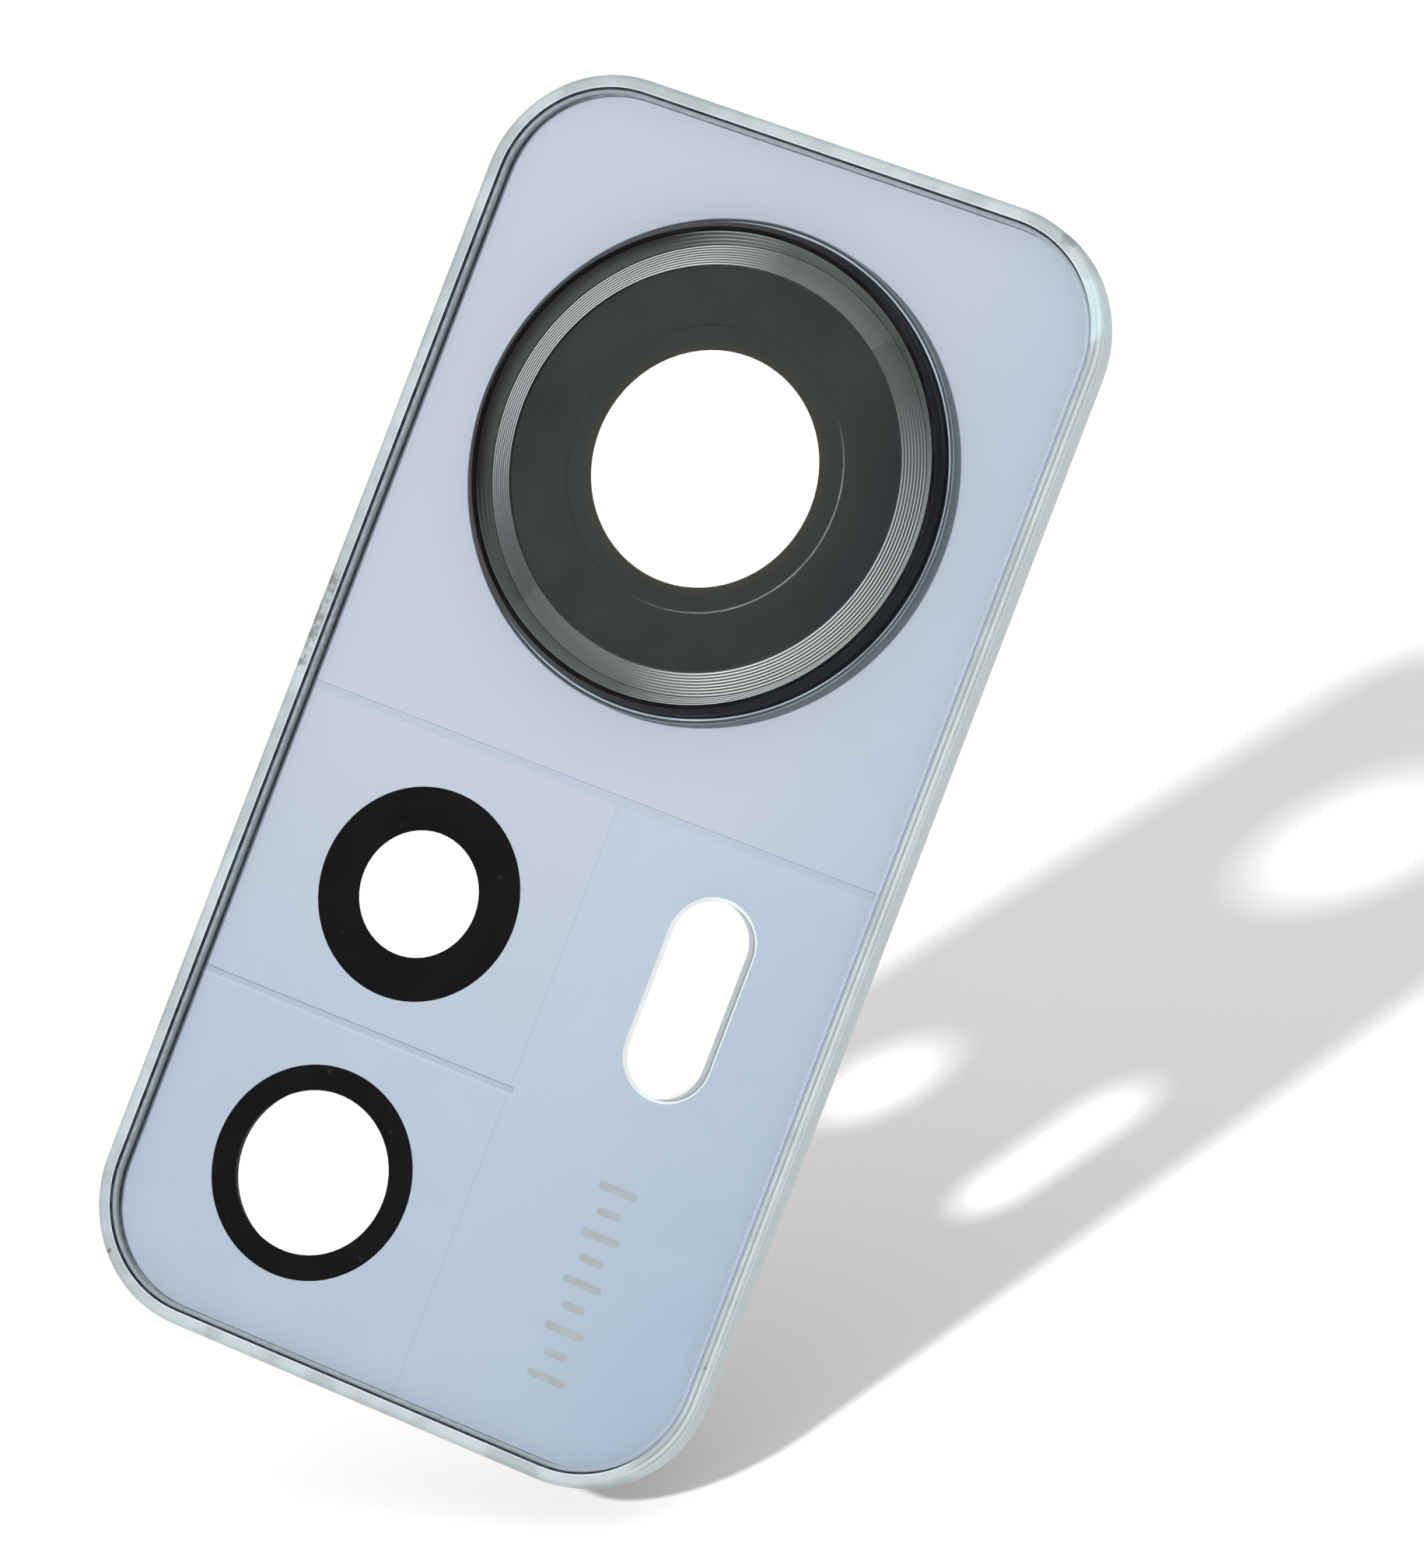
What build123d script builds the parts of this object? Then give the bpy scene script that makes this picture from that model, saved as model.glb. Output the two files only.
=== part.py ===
"""Rear-camera lens cover of a phone: a clear moulded plate with a colour film behind it, one raised
main-lens ring with its own glass, two printed lens windows, a flash slot and the rear bonding tape.

Millimetres. The plate stands upright: X across its width, Z along its length, and its outer face
looks along -Y. The origin is the middle of the rear bonding face. A "rise" is measured outwards
from the plate's field, the sunken flat inside its low rim lip.
"""
from build123d import *
import os

# ---- plate ----
PLATE_W, PLATE_L, PLATE_T = 27.0, 52.8, 1.3
PLATE_CORNER = 5.2          # outline corner radius
FRONT_EDGE_R = 0.20         # rounded outer edge
REAR_EDGE_BREAK = 0.10      # small chamfer on the rear edge
LIP_W, FIELD_DROP = 0.55, 0.10   # low rim lip, and how far the field lies below it
FILM_DEPTH = 0.62           # from the lip's top to the film
CLEAR_BORDER = 0.70         # clear skirt round the ink and film

# ---- laminate in the rear recess, front to back ----
FILM_T = 0.12
INK_T = 0.03
TAPE_T = PLATE_T - FILM_DEPTH - FILM_T - INK_T
FILM_GAP = 0.08             # the film stops this far inside the ink behind it
TAPE_SETBACK = 0.60         # the tape stops this far inside the ink
WINDOW_CLEARANCE = 0.05     # radial room between a window and the tape

# ---- lens windows, by centre (x, z) ----
MAIN_X, MAIN_Z = 0.0, 12.63
SMALL_X = -5.24
UPPER_Z, LOWER_Z = -7.0, -18.8
SMALL_PRINT_R = 4.29
UPPER_CLEAR_R, LOWER_CLEAR_R = 2.54, 3.27

# ---- flash slot ----
SLOT_X, SLOT_Z = 7.0, -6.98
SLOT_W, SLOT_L = 3.42, 8.10
SLOT_MARGIN = 0.15          # the film stops this far from the slot, and a liner fills the gap

# ---- generic tally mark: a column of long and short rounded bars below the slot ----
MARK_X, MARK_TOP_Z, MARK_BOTTOM_Z = 7.05, -14.75, -22.85
MARK_LONG, MARK_SHORT, MARK_BARS, MARK_BAR_H, MARK_T = 1.70, 1.05, 9, 0.32, 0.04

# ---- main lens ring: radii and rises ----
BORE_R = 9.60               # hole in the plate
FLANGE_R, FLANGE_RISE = 10.08, 0.13
RING_GLUE_T = 0.05
WALL_R, WALL_RISE = 9.80, 0.75
RIM_RISE, RIM_OUTER_R, RIM_INNER_R = 0.95, 9.60, 9.43
FUNNEL_TOP_R, FUNNEL_FOOT_R, FUNNEL_FOOT_RISE = 9.38, 9.00, 0.20
SPIGOT_R, SPIGOT_INNER_R, SPIGOT_DEPTH = 9.55, 8.70, 0.70
INSERT_SEAT_RISE = 0.0
INSERT_INNER_R, INSERT_INNER_RISE = 8.12, 0.66
LEDGE_INNER_R, LEDGE_RISE, LEDGE_DEPTH = 7.10, 0.40, 0.25

# ---- main lens: glass, black print and bond ----
GLASS_R, GLASS_T, GLASS_EDGE_BREAK = 8.09, 0.25, 0.04
MASK_T = 0.02
MAIN_CLEAR_R = 4.72
HAIRLINE_R, HAIRLINE_W = 5.70, 0.05     # fine gap between the outer mask and the aperture print
LENS_GLUE_T = 0.10
LENS_GLUE_INNER_R = 7.20

# ---- light-seal foams ----
FOAM_RING_W = 1.10          # foam ring's outer edge beyond the window
FOAM_SETBACK = 0.40         # and its inner edge, kept out of the slanting view
MAIN_FOAM_INNER_R, MAIN_FOAM_OUTER_R = 7.30, 8.60

REAR_Y = 0.0
FRONT_Y = -PLATE_T
FIELD_Y = FRONT_Y + FIELD_DROP
RECESS_Y = FRONT_Y + FILM_DEPTH
INK_Y = RECESS_Y + FILM_T
TAPE_Y = INK_Y + INK_T
FACING = Plane(origin=(0, 0, 0), x_dir=(1, 0, 0), z_dir=(0, -1, 0))


def facing_plane(y):
    """Sketch plane at depth coordinate y: local x is +X, local y is +Z, the normal is -Y."""
    return FACING.offset(-y)


def slab(sketch, rear_y, thickness):
    """A flat piece: the sketch extruded outwards from rear_y."""
    return extrude(facing_plane(rear_y) * sketch, thickness)


def rounded(width, length, corner):
    return RectangleRounded(width, length, corner)


def disc(x, z, radius):
    return Pos(x, z) * Circle(radius)


def annulus(x, z, outer_r, inner_r):
    return disc(x, z, outer_r) - disc(x, z, inner_r)


def slot_outline(grow=0.0):
    """The flash slot, upright, grown evenly by an offset."""
    width = SLOT_W + 2 * grow
    return Pos(SLOT_X, SLOT_Z) * Rot(0, 0, 90) * SlotOverall(SLOT_L + 2 * grow, width)


def turned(profile):
    """A ring turned about the main lens axis from a list of (radius, rise) corners."""
    section = Plane.XZ * make_face(Polyline(*profile, close=True))
    solid = revolve(section, Axis.Z)
    return Pos(MAIN_X, FIELD_Y, MAIN_Z) * Rot(90, 0, 0) * solid


def inset_outline(inset):
    return rounded(PLATE_W - 2 * inset, PLATE_L - 2 * inset, PLATE_CORNER - inset)


def cover_plate():
    """Clear moulded plate: rim lip, sunken field, rear skirt, bore for the ring and flash slot."""
    body = slab(inset_outline(0), REAR_Y, PLATE_T)
    front_edges = body.faces().sort_by(Axis.Y)[0].edges()
    body = fillet(front_edges, FRONT_EDGE_R)
    rear_edges = body.faces().sort_by(Axis.Y)[-1].edges()
    body = chamfer(rear_edges, REAR_EDGE_BREAK)
    body -= slab(inset_outline(LIP_W), FIELD_Y, FIELD_DROP)
    body -= slab(inset_outline(CLEAR_BORDER), REAR_Y, REAR_Y - RECESS_Y)
    body -= slab(disc(MAIN_X, MAIN_Z, BORE_R) + slot_outline(), REAR_Y, PLATE_T)
    return body


def film_openings(clearance):
    """Everything that the film, the ink and the tape leave free."""
    holes = disc(MAIN_X, MAIN_Z, BORE_R + clearance)
    holes += disc(SMALL_X, UPPER_Z, SMALL_PRINT_R + clearance)
    holes += disc(SMALL_X, LOWER_Z, SMALL_PRINT_R + clearance)
    holes += slot_outline(SLOT_MARGIN + clearance)
    return holes


def decor_film():
    outline = inset_outline(CLEAR_BORDER + FILM_GAP) - film_openings(0)
    return slab(outline, INK_Y, FILM_T) - printed_mark()


def backing_ink():
    outline = inset_outline(CLEAR_BORDER) - film_openings(0)
    return slab(outline, TAPE_Y, INK_T)


def rear_bond_tape():
    outline = inset_outline(CLEAR_BORDER + TAPE_SETBACK) - film_openings(WINDOW_CLEARANCE)
    return slab(outline, REAR_Y, TAPE_T)


def lens_ink_ring(z, clear_r):
    """Black annulus printed on the back of the clear skin."""
    ring = annulus(SMALL_X, z, SMALL_PRINT_R, clear_r)
    return slab(ring, RECESS_Y + INK_T, INK_T)


def lens_foam(z, clear_r):
    ring = annulus(SMALL_X, z, clear_r + FOAM_RING_W, clear_r + FOAM_SETBACK)
    return slab(ring, REAR_Y, REAR_Y - (RECESS_Y + INK_T))


def flash_liner():
    """White liner of the flash slot, behind the clear skin, which covers the laminate's cut edge."""
    frame = slot_outline(SLOT_MARGIN) - slot_outline(0)
    return slab(frame, REAR_Y, REAR_Y - RECESS_Y)


def printed_mark():
    """Rounded bars of ink let into the film's front, evenly spaced, seen through the clear skin."""
    pitch = (MARK_TOP_Z - MARK_BOTTOM_Z - MARK_BAR_H) / (MARK_BARS - 1)
    bars = []
    for index in range(MARK_BARS):
        bar_z = MARK_TOP_Z - MARK_BAR_H / 2 - index * pitch
        length = MARK_SHORT if index % 2 else MARK_LONG
        bar = Pos(MARK_X, bar_z) * SlotOverall(length, MARK_BAR_H)
        bars.append(slab(bar, RECESS_Y + MARK_T, MARK_T))
    return Compound(children=bars)


def main_ring_body():
    """Raised outer ring: flange on the plate, spigot through the bore, ledges for insert and glass."""
    return turned([
        (LEDGE_INNER_R, -LEDGE_DEPTH),
        (LEDGE_INNER_R, LEDGE_RISE),
        (INSERT_INNER_R - 0.02, LEDGE_RISE),
        (INSERT_INNER_R - 0.02, INSERT_SEAT_RISE),
        (FUNNEL_FOOT_R, INSERT_SEAT_RISE),
        (FUNNEL_FOOT_R, FUNNEL_FOOT_RISE),
        (FUNNEL_TOP_R, RIM_RISE - 0.05),
        (RIM_INNER_R, RIM_RISE),
        (RIM_OUTER_R, RIM_RISE),
        (WALL_R, WALL_RISE),
        (WALL_R, FLANGE_RISE + 0.06),
        (WALL_R + 0.06, FLANGE_RISE),
        (FLANGE_R, FLANGE_RISE),
        (FLANGE_R, RING_GLUE_T),
        (SPIGOT_R, RING_GLUE_T),
        (SPIGOT_R, -SPIGOT_DEPTH),
        (SPIGOT_INNER_R, -SPIGOT_DEPTH),
        (SPIGOT_INNER_R, -LEDGE_DEPTH),
    ])


def main_ring_adhesive():
    return turned([
        (BORE_R, 0),
        (FLANGE_R - 0.03, 0),
        (FLANGE_R - 0.03, RING_GLUE_T),
        (BORE_R, RING_GLUE_T),
    ])


def main_ring_insert():
    """Separate turned ring whose bevel falls outwards from the glass to the funnel's foot."""
    return turned([
        (INSERT_INNER_R, INSERT_SEAT_RISE),
        (FUNNEL_FOOT_R - 0.01, INSERT_SEAT_RISE),
        (FUNNEL_FOOT_R - 0.01, FUNNEL_FOOT_RISE),
        (INSERT_INNER_R, INSERT_INNER_RISE),
    ])


def main_lens_pieces():
    """Glass, its two black prints and the bond that holds it on the ledge, by node name."""
    mask_rise = LEDGE_RISE + LENS_GLUE_T
    glass_rise = mask_rise + MASK_T
    top = glass_rise + GLASS_T
    glass = turned([
        (0, glass_rise),
        (GLASS_R, glass_rise),
        (GLASS_R, top - GLASS_EDGE_BREAK),
        (GLASS_R - GLASS_EDGE_BREAK, top),
        (0, top),
    ])
    layer_y = FIELD_Y - mask_rise
    mask = slab(annulus(MAIN_X, MAIN_Z, GLASS_R, HAIRLINE_R + HAIRLINE_W), layer_y, MASK_T)
    aperture = slab(annulus(MAIN_X, MAIN_Z, HAIRLINE_R, MAIN_CLEAR_R), layer_y, MASK_T)
    glue = annulus(MAIN_X, MAIN_Z, GLASS_R, LENS_GLUE_INNER_R)
    return {
        "main_lens_glass": glass,
        "main_lens_mask": mask,
        "main_lens_aperture_print": aperture,
        "main_lens_adhesive": slab(glue, FIELD_Y - LEDGE_RISE, LENS_GLUE_T),
    }


def main_lens_foam():
    ring = annulus(MAIN_X, MAIN_Z, MAIN_FOAM_OUTER_R, MAIN_FOAM_INNER_R)
    return slab(ring, REAR_Y, REAR_Y - FIELD_Y - LEDGE_DEPTH)


def all_pieces():
    pieces = {
        "cover_plate": cover_plate(),
        "decor_film": decor_film(),
        "backing_ink": backing_ink(),
        "rear_bond_tape": rear_bond_tape(),
        "upper_lens_ink_ring": lens_ink_ring(UPPER_Z, UPPER_CLEAR_R),
        "lower_lens_ink_ring": lens_ink_ring(LOWER_Z, LOWER_CLEAR_R),
        "upper_lens_foam": lens_foam(UPPER_Z, UPPER_CLEAR_R),
        "lower_lens_foam": lens_foam(LOWER_Z, LOWER_CLEAR_R - 0.25),
        "flash_liner": flash_liner(),
        "printed_mark": printed_mark(),
        "main_ring_body": main_ring_body(),
        "main_ring_adhesive": main_ring_adhesive(),
        "main_ring_insert": main_ring_insert(),
        "main_lens_foam": main_lens_foam(),
    }
    pieces.update(main_lens_pieces())
    return pieces


os.makedirs("parts", exist_ok=True)
for node, piece in all_pieces().items():
    export_step(piece, f"parts/{node}.step")
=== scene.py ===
"""Finish and studio for a phone rear-camera lens cover: a clear moulded plate over a pale blue
film, a raised black main-lens ring with a diamond-turned insert, two printed lens windows and a
flash slot."""
import math

import bmesh
import bpy
from mathutils import Matrix, Quaternion, Vector


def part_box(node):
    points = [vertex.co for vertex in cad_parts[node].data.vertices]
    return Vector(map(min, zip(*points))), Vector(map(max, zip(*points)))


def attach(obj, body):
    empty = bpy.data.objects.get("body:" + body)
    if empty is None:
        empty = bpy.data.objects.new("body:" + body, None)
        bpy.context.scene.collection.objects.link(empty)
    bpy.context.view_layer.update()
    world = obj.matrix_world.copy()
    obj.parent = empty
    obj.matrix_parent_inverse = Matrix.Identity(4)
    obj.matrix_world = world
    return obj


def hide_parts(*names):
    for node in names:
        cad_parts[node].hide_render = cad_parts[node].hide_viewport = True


bl_info = {
    "name": "Camera Lens Cover",
    "version": (1, 0, 0),
    "blender": (4, 5, 0),
    "location": "View3D > Sidebar > Lens Cover",
    "description": "Builds the visible pieces, finishes and studio of a phone rear-camera lens cover",
    "category": "Object",
}

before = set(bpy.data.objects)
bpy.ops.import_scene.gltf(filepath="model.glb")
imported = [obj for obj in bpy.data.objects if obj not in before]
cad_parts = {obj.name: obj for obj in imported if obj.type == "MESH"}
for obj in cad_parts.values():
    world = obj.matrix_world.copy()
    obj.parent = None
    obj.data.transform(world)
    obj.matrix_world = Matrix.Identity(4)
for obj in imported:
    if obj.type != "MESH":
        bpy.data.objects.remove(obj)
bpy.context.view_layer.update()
MM = 0.001
BODY = "root"

PLATE_LOW, PLATE_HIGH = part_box("cover_plate")
RING_LOW, RING_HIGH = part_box("main_ring_body")
INSERT_LOW, INSERT_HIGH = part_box("main_ring_insert")
GLASS_LOW, GLASS_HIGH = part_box("main_lens_glass")
PRINT_LOW, PRINT_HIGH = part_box("main_lens_aperture_print")
FILM_LOW, FILM_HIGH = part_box("decor_film")
LINER_LOW, LINER_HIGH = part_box("flash_liner")
RING_CENTRE = (RING_LOW + RING_HIGH) / 2
FRONT_Y = PLATE_LOW.y                            # the top of the rim lip
FIELD_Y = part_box("main_ring_adhesive")[1].y      # the sunken field that the ring stands on
REAR_Y = PLATE_HIGH.y
SKIN_REAR_Y = FILM_LOW.y - 0.012 * MM            # the back of the clear skin, just off the film
BORE_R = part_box("main_ring_adhesive")[1].x - RING_CENTRE.x - 0.45 * MM
LINER_RIM = 0.15 * MM                            # how far the liner shows round the slot
SLOT_LOW = Vector((LINER_LOW.x + LINER_RIM, 0, LINER_LOW.z + LINER_RIM))
SLOT_HIGH = Vector((LINER_HIGH.x - LINER_RIM, 0, LINER_HIGH.z - LINER_RIM))
SLOT_MIDDLE_X = (LINER_LOW.x + LINER_HIGH.x) / 2
SLOT_FADE = 0.6 * MM                             # where the painted highlight on the slot's left wall and the liner's glow fade out
LINER_GLOW = 0.35                                # emission that stands for light through the liner
GROOVES = 8
INSERT_INNER_R = GLASS_HIGH.x - RING_CENTRE.x + 0.01 * MM
INSERT_OUTER_R = INSERT_HIGH.x - RING_CENTRE.x
GROOVE_PITCH = (INSERT_OUTER_R - INSERT_INNER_R) / GROOVES
FUNNEL_OUTER_R = 9.40 * MM
RING_STEPS = 192                                 # flats in a turned ring or a bore
GLASS_STEPS = 256
MERGE = 1e-7


# ---------------- material tools

def linear(hex_colour):
    """An sRGB hex colour as the linear RGBA that sockets take."""
    channels = [int(hex_colour[i:i + 2], 16) / 255 for i in (1, 3, 5)]
    straight = [c / 12.92 if c <= 0.04045 else ((c + 0.055) / 1.055) ** 2.4 for c in channels]
    return (*straight, 1.0)


def linear_rgb(hex_colour):
    return linear(hex_colour)[:3]


def add_node(material, kind, settings=None, inputs=None):
    """Adds a shader node; each input is a value, an sRGB hex colour or an output socket to link."""
    tree = material.node_tree
    node = tree.nodes.new(kind)
    for name, value in (settings or {}).items():
        setattr(node, name, value)
    for key, value in (inputs or {}).items():
        if isinstance(value, bpy.types.NodeSocket):
            tree.links.new(value, node.inputs[key])
        else:
            node.inputs[key].default_value = linear(value) if isinstance(value, str) else value
    return node


def new_material(name):
    material = bpy.data.materials.new(name)
    material.use_nodes = True
    material.node_tree.nodes.clear()
    return material


def show(material, shader):
    """Links a shader node to a new output node and returns the material."""
    add_node(material, "ShaderNodeOutputMaterial", inputs={"Surface": shader.outputs[0]})
    return material


def surface(material, inputs):
    """Ends a material with one Principled BSDF."""
    return show(material, add_node(material, "ShaderNodeBsdfPrincipled", inputs=inputs))


def blend(material, share, first, second):
    """Ends a material with two mixed shader nodes; share is how much of the second shows."""
    return show(material, add_node(material, "ShaderNodeMixShader", inputs={
        0: share, 1: first.outputs[0], 2: second.outputs[0]}))


def coordinate(material, centre=(0, 0, 0)):
    """X, Y and Z of the Object coordinate, measured from a centre, as three sockets."""
    source = add_node(material, "ShaderNodeTexCoord").outputs["Object"]
    moved = add_node(material, "ShaderNodeMapping", inputs={
        "Vector": source, "Location": tuple(-c for c in centre)}).outputs[0]
    return add_node(material, "ShaderNodeSeparateXYZ", inputs={0: moved}).outputs


def maths(material, operation, *values):
    """A Math node's output; values are numbers or sockets."""
    return add_node(material, "ShaderNodeMath", {"operation": operation},
                    dict(enumerate(values))).outputs[0]


def product(material, first, *others):
    """The product of numbers and sockets."""
    for other in others:
        first = maths(material, "MULTIPLY", first, other)
    return first


def length(material, across, along):
    """The length of a flat vector whose two parts are sockets."""
    squares = [product(material, part, part) for part in (across, along)]
    return maths(material, "SQRT", maths(material, "ADD", *squares))


def step(material, value, low, high, out_low=0.0, out_high=1.0):
    """A smooth step as value goes from low to high."""
    return add_node(material, "ShaderNodeMapRange", {"interpolation_type": "SMOOTHSTEP"}, {
        "Value": value, "From Min": low, "From Max": high,
        "To Min": out_low, "To Max": out_high}).outputs["Result"]


def band(material, value, low, high, soft):
    """1 where value lies between low and high, with soft shoulders, else 0."""
    rise = step(material, value, low - soft, low + soft)
    fall = step(material, value, high - soft, high + soft, 1.0, 0.0)
    return product(material, rise, fall)


def tint(material, factor, first, second, mode="MIX"):
    """Mixes two colours or sockets by a factor."""
    return add_node(material, "ShaderNodeMix", {"data_type": "RGBA", "blend_type": mode},
                    {0: factor, 6: first, 7: second}).outputs[2]


def noise(material, size_mm, detail=2.0, stretch=(1, 1, 1)):
    """Noise whose features are about size_mm across."""
    source = add_node(material, "ShaderNodeTexCoord").outputs["Object"]
    mapped = add_node(material, "ShaderNodeMapping", inputs={"Vector": source, "Scale": stretch})
    return add_node(material, "ShaderNodeTexNoise", inputs={
        "Vector": mapped.outputs[0], "Scale": 1 / (size_mm * MM), "Detail": detail}).outputs["Fac"]


def patches(material, size_mm, detail, low, high, out_low=0.0, out_high=1.0):
    """Soft patches of noise, from out_low to out_high."""
    return step(material, noise(material, size_mm, detail), low, high, out_low, out_high)


def bump(material, height, distance_mm, strength=1.0):
    return add_node(material, "ShaderNodeBump", inputs={
        "Height": height, "Distance": distance_mm * MM, "Strength": strength}).outputs["Normal"]


def polar(material):
    """Radius in metres and angle in radians round the main lens axis, as two sockets."""
    x, _, z = coordinate(material, RING_CENTRE)
    return length(material, x, z), maths(material, "ARCTAN2", z, x)


def voronoi_cells(material, size_mm):
    """Distance within foam cells that are about size_mm across."""
    source = add_node(material, "ShaderNodeTexCoord").outputs["Object"]
    return add_node(material, "ShaderNodeTexVoronoi", inputs={
        "Vector": source, "Scale": 1 / (size_mm * MM)}).outputs["Distance"]


def polish(material, strength):
    """How much a polished clear surface mirrors, from about 4% face on to all at a grazing angle."""
    facing = add_node(material, "ShaderNodeLayerWeight", inputs={"Blend": 0.5}).outputs["Facing"]
    rim = maths(material, "POWER", facing, 5.0)
    return maths(material, "MULTIPLY_ADD", rim, 0.96 * strength, 0.04 * strength)


# ---------------- materials

def clear_acrylic():
    """Injection-moulded acrylic, polished tool: see-through, with a crisp thin mirror on top."""
    material = new_material("clear_acrylic_polished")
    through = add_node(material, "ShaderNodeBsdfTransparent", inputs={"Color": "#fbfdfd"})
    normal = bump(material, noise(material, 2.6, 1.0), 0.004, 0.25)
    mirror = add_node(material, "ShaderNodeBsdfGlossy", inputs={
        "Color": "#ffffff", "Roughness": 0.06, "Normal": normal})
    return blend(material, polish(material, 0.6), through, mirror)


def bonded_acrylic():
    """The back of the clear skin where the film is wetted onto it: it neither shows nor mirrors."""
    material = new_material("clear_acrylic_bonded")
    speck = patches(material, 0.5, 3.0, 0.70, 0.78, 0.0, 0.02)
    through = add_node(material, "ShaderNodeBsdfTransparent")
    haze = add_node(material, "ShaderNodeBsdfDiffuse", inputs={"Color": "#dfe6ec"})
    return blend(material, speck, through, haze)


def spot(material, x, z, centre, radius_mm):
    """1 inside a soft round spot on the face, 0 outside; its edge is roughened by noise."""
    across = maths(material, "SUBTRACT", x, centre[0] * MM)
    along = maths(material, "SUBTRACT", z, centre[1] * MM)
    away = length(material, across, along)
    radius = radius_mm * MM
    rough = maths(material, "MULTIPLY_ADD", noise(material, radius_mm * 0.6), radius, radius * 0.2)
    return step(material, maths(material, "SUBTRACT", away, rough), 0.0, radius * 0.4, 1.0, 0.0)


def inset_depth(material, x, z, corner):
    """How far a point lies inside the plate's rounded outline, seen from the front, in metres."""
    reach = []
    for value, low, high in ((x, PLATE_LOW.x, PLATE_HIGH.x), (z, PLATE_LOW.z, PLATE_HIGH.z)):
        away = maths(material, "ABSOLUTE", maths(material, "SUBTRACT", value, (low + high) / 2))
        reach.append(maths(material, "SUBTRACT", away, (high - low) / 2 - corner))
    beyond = [maths(material, "MAXIMUM", value, 0.0) for value in reach]
    outside = length(material, *beyond)
    inside = maths(material, "MINIMUM", maths(material, "MAXIMUM", *reach), 0.0)
    return maths(material, "SUBTRACT", corner, maths(material, "ADD", outside, inside))


# Painted highlight and shade lines along the lip on the slot side: near and far depth in mm, strength
# and colour.
RIM_HIGHLIGHT_AND_SHADE_LINES = ((0.11, 0.23, 0.8, "#a6b0b1"), (0.26, 0.35, 1.0, "#727d7c"), (0.46, 0.70, 1.0, "#7a8690"))
# Small flaws on the rim: centre (x, z) and radius in mm, and strength.
FLAWS = (((-11.9, -24.7), 0.10, 1.0), ((13.2, -19.9), 0.07, 1.0), ((10.6, 25.9), 0.4, 0.5))
HIGHLIGHT_STREAK = ((12.6, 23.6), 1.3, 0.6)                # a painted highlight streak at the slot side's upper corner
GATE_LOW_Z, GATE_HIGH_Z = -0.3 * MM, 3.7 * MM    # where the moulding gate was torn off
GATE_FROM_X, GATE_TO_X = -13.1 * MM, -12.98 * MM
SLOT_SIDE_FROM_X, SLOT_SIDE_TO_X = 11.4 * MM, 12.4 * MM


def edge_acrylic(style, name, colour, shade, density):
    """Acrylic seen through its long edge: pale grey-green, cloudy, with painted highlight and shade
    lines, a painted lighter outer wall and a painted highlight streak along the slot side, small
    flaws and a rough bruise where the moulding gate was torn off; the slot's left wall is painted
    near white as a highlight."""
    material = new_material(name)
    x, y, z = coordinate(material)
    flow = noise(material, 1.2, 3.0, (1, 6, 1))
    cloud = noise(material, 2.4, 3.0)
    pale = tint(material, step(material, cloud, 0.40, 0.62), colour, shade)
    depth = inset_depth(material, x, z, style.corner)
    # Painted highlight: the slot's left wall is painted near white.
    inland = step(material, depth, 2.0 * MM, 3.0 * MM)
    left = step(material, x, SLOT_MIDDLE_X, SLOT_MIDDLE_X + SLOT_FADE, 1.0, 0.0)
    pale = tint(material, product(material, inland, left), pale, "#f4f6f6")
    # Painted light: along the slot side the outer wall is painted lighter.
    slot_side = step(material, x, SLOT_SIDE_FROM_X, SLOT_SIDE_TO_X)
    lit_outer_wall = step(material, depth, 0.03 * MM, 0.07 * MM, 1.0, 0.0)
    pale = tint(material, product(material, slot_side, lit_outer_wall), pale, "#bcc6c7")
    lip = product(material, slot_side, step(material, y, -1.1 * MM, -1.0 * MM, 1.0, 0.0))
    # Painted light along the lip on the slot side: a highlight line, then two shade lines.
    for near, far, strength, line in RIM_HIGHLIGHT_AND_SHADE_LINES:
        reach = band(material, depth, near * MM, far * MM, 0.02 * MM)
        pale = tint(material, product(material, reach, lip, strength), pale, line)
    # Painted highlight: a pale streak at the slot side's upper corner.
    centre, radius_mm, strength = HIGHLIGHT_STREAK
    streak = spot(material, x, z, centre, radius_mm)
    pale = tint(material, product(material, streak, strength), pale, "#b4ccd2")
    flaw = 0.0
    for centre, radius_mm, strength in FLAWS:
        mark = product(material, spot(material, x, z, centre, radius_mm), strength)
        flaw = maths(material, "MAXIMUM", flaw, mark)
    pale = tint(material, flaw, pale, "#555a5e")
    torn = patches(material, 0.3, 4.0, 0.40, 0.64, 0.0, 0.85)
    gate = product(material, band(material, z, GATE_LOW_Z, GATE_HIGH_Z, 0.2 * MM),
                   step(material, x, GATE_FROM_X, GATE_TO_X, 1.0, 0.0))
    scar = product(material, gate, torn)
    pale = tint(material, scar, pale, "#62686a")
    normal = bump(material, maths(material, "ADD", flow, scar), 0.01, 0.4)
    body = add_node(material, "ShaderNodeBsdfPrincipled", inputs={
        "Base Color": pale, "Roughness": 0.45, "Specular IOR Level": 0.3, "Normal": normal})
    through = add_node(material, "ShaderNodeBsdfTransparent", inputs={"Color": "#eef5f6"})
    return blend(material, density, through, body)


def shaded_lip_wall():
    """The lip's inner wall, painted as shade where it traps the light: near black, and mid slate
    along the slot side.
    """
    material = new_material("acrylic_lip_wall")
    x, _, _ = coordinate(material)
    # Painted shade: near black on the wall, lighter along the slot side.
    side = step(material, x, 10.8 * MM, 12.6 * MM)
    streak = patches(material, 0.35, 2.0, 0.3, 0.7)
    dark = tint(material, streak, "#162027", "#2f3b44")
    colour = tint(material, side, dark, "#7c8890")
    return surface(material, {
        "Base Color": colour, "Roughness": 0.6, "Specular IOR Level": 0.1})


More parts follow.
